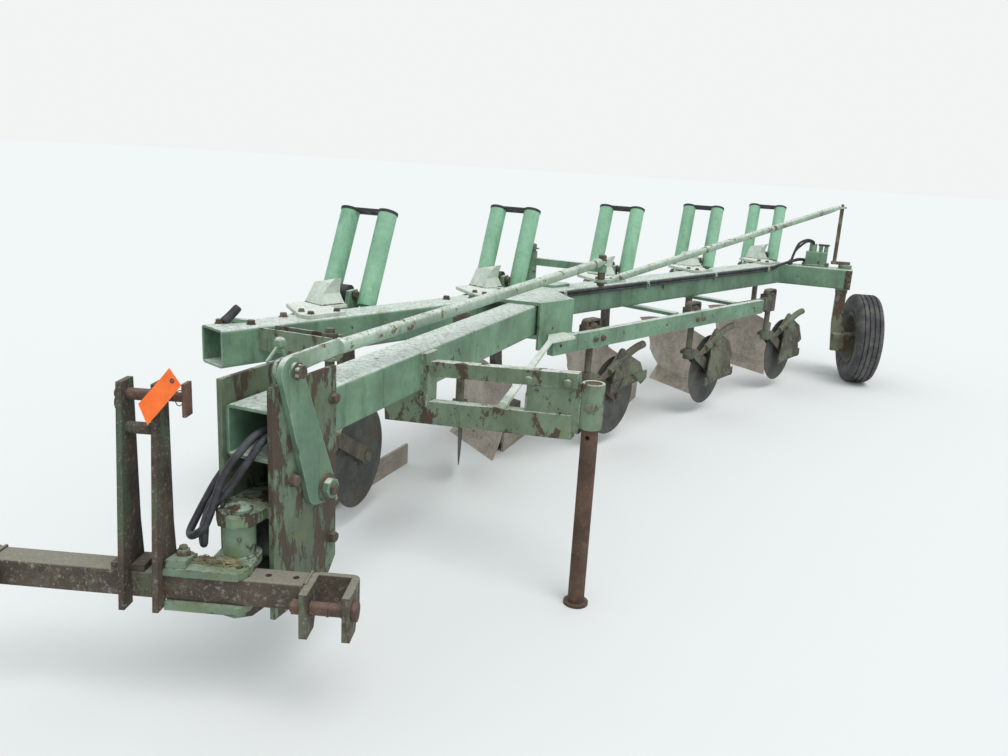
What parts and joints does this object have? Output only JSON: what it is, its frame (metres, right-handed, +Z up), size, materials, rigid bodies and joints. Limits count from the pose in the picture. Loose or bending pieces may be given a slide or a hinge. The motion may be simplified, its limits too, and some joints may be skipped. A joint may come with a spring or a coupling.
{
  "type": "moldboard plough",
  "caption": "Semi-mounted mouldboard plough with spring-reset bottoms on a slanting beam, a turning three-point hitch, swivelling disc coulters, a steered tail wheel and a parking stand.",
  "frame": {"origin": "on the ground in the middle of the plough's length and width, as it stands parked", "axes": "+X to the plough's left, +Y to its rear, +Z up; the way of travel is -Y"},
  "size_m": [2.8616, 6.2348, 1.346],
  "materials": {
    "green_paint": "weathered, chalky",
    "pale_paint": "chalky, weathered",
    "tube_paint": "satin",
    "black_paint": "dull",
    "rusty_iron": "rusty, matt",
    "worn_steel": "dull, rusted",
    "hose_rubber": "matt",
    "tyre": "dirty, matt"
  },
  "bodies": {
    "frame": {"main_beam": "green_paint", "landing_beam": "green_paint", "head_plates": "green_paint", "pivot_bearings": "green_paint", "splice_bracket": "green_paint", "coulter_bar": "green_paint", "bar_brackets": "green_paint", "front_coulter_arm": "pale_paint", "coulter_clamps": "pale_paint", "coulter_shanks": "rusty_iron", "stand_arms": "green_paint", "stand_brace": "pale_paint", "tail_box": "green_paint", "tail_valve": "green_paint", "beam_hoses": "hose_rubber", "clamp_castings": "pale_paint", "beam_forks": "green_paint", "trunnions": "worn_steel", "reset_tubes": "tube_paint", "tube_caps": "black_paint", "toggle_rollers": "black_paint", "standards": "worn_steel", "frogs": "rusty_iron", "mouldboards": "worn_steel", "shares": "worn_steel", "landsides": "worn_steel", "idler_post": "green_paint", "head_hoses": "hose_rubber"},
    "hitch": {"crossbar": "rusty_iron", "draft_plates": "green_paint", "clevises": "rusty_iron", "draft_pins": "rusty_iron", "mast": "rusty_iron", "top_link_pin": "rusty_iron"},
    "lever": {"steering_lever": "green_paint"},
    "front_rod": {"front_rod": "green_paint"},
    "idler": {"idler_arm": "green_paint"},
    "rear_rod": {"rear_rod": "green_paint"},
    "tail_post": {"tail_post": "rusty_iron"},
    "tail_wheel": {"tail_rim": "pale_paint", "tail_tyre": "tyre"},
    "stand_leg": {"stand_leg": "rusty_iron"},
    "coulter_fork_1": {"coulter_fork_1": "rusty_iron"},
    "coulter_disc_1": {"coulter_disc_1": "worn_steel"},
    "coulter_fork_2": {"coulter_fork_2": "rusty_iron"},
    "coulter_disc_2": {"coulter_disc_2": "worn_steel"},
    "coulter_fork_3": {"coulter_fork_3": "rusty_iron"},
    "coulter_disc_3": {"coulter_disc_3": "worn_steel"},
    "coulter_fork_4": {"coulter_fork_4": "rusty_iron"},
    "coulter_disc_4": {"coulter_disc_4": "worn_steel"},
    "coulter_fork_5": {"coulter_fork_5": "rusty_iron"},
    "coulter_disc_5": {"coulter_disc_5": "worn_steel"}
  },
  "joints": [
    {"name": "hitch_turn", "type": "hinge", "parent": "frame", "child": "hitch", "pos_m": [-0.3498, -2.71693, 0.4], "axis": [0, 0, 1], "range_deg": [-53, 17]},
    {"name": "lever_swing", "type": "hinge", "parent": "frame", "child": "lever", "pos_m": [-0.3498, -2.45493, 0.583], "axis": [1, 0, 0], "range_deg": [-9, 3]},
    {"name": "front_rod_swing", "type": "hinge", "parent": "lever", "child": "front_rod", "pos_m": [-0.3498, -2.61094, 0.973], "axis": [1, 0, 0], "range_deg": [-3, 9]},
    {"name": "idler_swing", "type": "hinge", "parent": "frame", "child": "idler", "pos_m": [-0.56426, 0.09431, 1.03], "axis": [0, 0, 1], "range_deg": [-3, 9]},
    {"name": "rear_rod_swing", "type": "hinge", "parent": "idler", "child": "rear_rod", "pos_m": [-0.1448, 0.07307, 1.03], "axis": [0, 0, 1], "range_deg": [-9, 3]},
    {"name": "tail_steer", "type": "hinge", "parent": "frame", "child": "tail_post", "pos_m": [1.0822, 2.58806, 0.6], "axis": [0, 0, 1], "range_deg": [-43, 14]},
    {"name": "tail_wheel_spin", "type": "hinge", "parent": "tail_post", "child": "tail_wheel", "pos_m": [1.26324, 2.63489, 0.339], "axis": [0.9681, 0.2504, 0], "continuous": true},
    {"name": "stand_slide", "type": "slide", "parent": "frame", "child": "stand_leg", "axis": [0, 0, 1], "range_m": [0, 0.45]},
    {"name": "coulter_swing_1", "type": "hinge", "parent": "frame", "child": "coulter_fork_1", "pos_m": [-0.6948, -1.74893, 0.43], "axis": [0, 0, 1], "range_deg": [-31, 21]},
    {"name": "coulter_spin_1", "type": "hinge", "parent": "coulter_fork_1", "child": "coulter_disc_1", "pos_m": [-0.7179, -1.48494, 0.29], "axis": [0.9962, 0.0872, 0], "continuous": true},
    {"name": "coulter_swing_2", "type": "hinge", "parent": "frame", "child": "coulter_fork_2", "pos_m": [-0.4618, -1.03693, 0.43], "axis": [0, 0, 1], "range_deg": [-48, 4]},
    {"name": "coulter_spin_2", "type": "hinge", "parent": "coulter_fork_2", "child": "coulter_disc_2", "pos_m": [-0.56107, -0.79123, 0.29], "axis": [0.9272, 0.3746, 0], "continuous": true},
    {"name": "coulter_swing_3", "type": "hinge", "parent": "frame", "child": "coulter_fork_3", "pos_m": [-0.10832, -0.17601, 0.43], "axis": [0, 0, 1], "range_deg": [-9, 43]},
    {"name": "coulter_spin_3", "type": "hinge", "parent": "coulter_fork_3", "child": "coulter_disc_3", "pos_m": [-0.03084, 0.07741, 0.29], "axis": [0.9563, -0.2924, 0], "continuous": true},
    {"name": "coulter_swing_4", "type": "hinge", "parent": "frame", "child": "coulter_fork_4", "pos_m": [0.25759, 0.79749, 0.43], "axis": [0, 0, 1], "range_deg": [-8, 44]},
    {"name": "coulter_spin_4", "type": "hinge", "parent": "coulter_fork_4", "child": "coulter_disc_4", "pos_m": [0.33948, 1.04952, 0.29], "axis": [0.9511, -0.309, 0], "continuous": true},
    {"name": "coulter_swing_5", "type": "hinge", "parent": "frame", "child": "coulter_fork_5", "pos_m": [0.62351, 1.771, 0.43], "axis": [0, 0, 1], "range_deg": [-6, 46]},
    {"name": "coulter_spin_5", "type": "hinge", "parent": "coulter_fork_5", "child": "coulter_disc_5", "pos_m": [0.71414, 2.02001, 0.29], "axis": [0.9397, -0.342, 0], "continuous": true}
  ],
  "couplings": [
    {"joint": "tail_steer", "follows": "hitch_turn", "ratio": 0.8},
    {"joint": "lever_swing", "follows": "hitch_turn", "ratio": 0.165},
    {"joint": "front_rod_swing", "follows": "hitch_turn", "ratio": -0.157},
    {"joint": "idler_swing", "follows": "hitch_turn", "ratio": -0.1533},
    {"joint": "rear_rod_swing", "follows": "hitch_turn", "ratio": 0.1533}
  ]
}
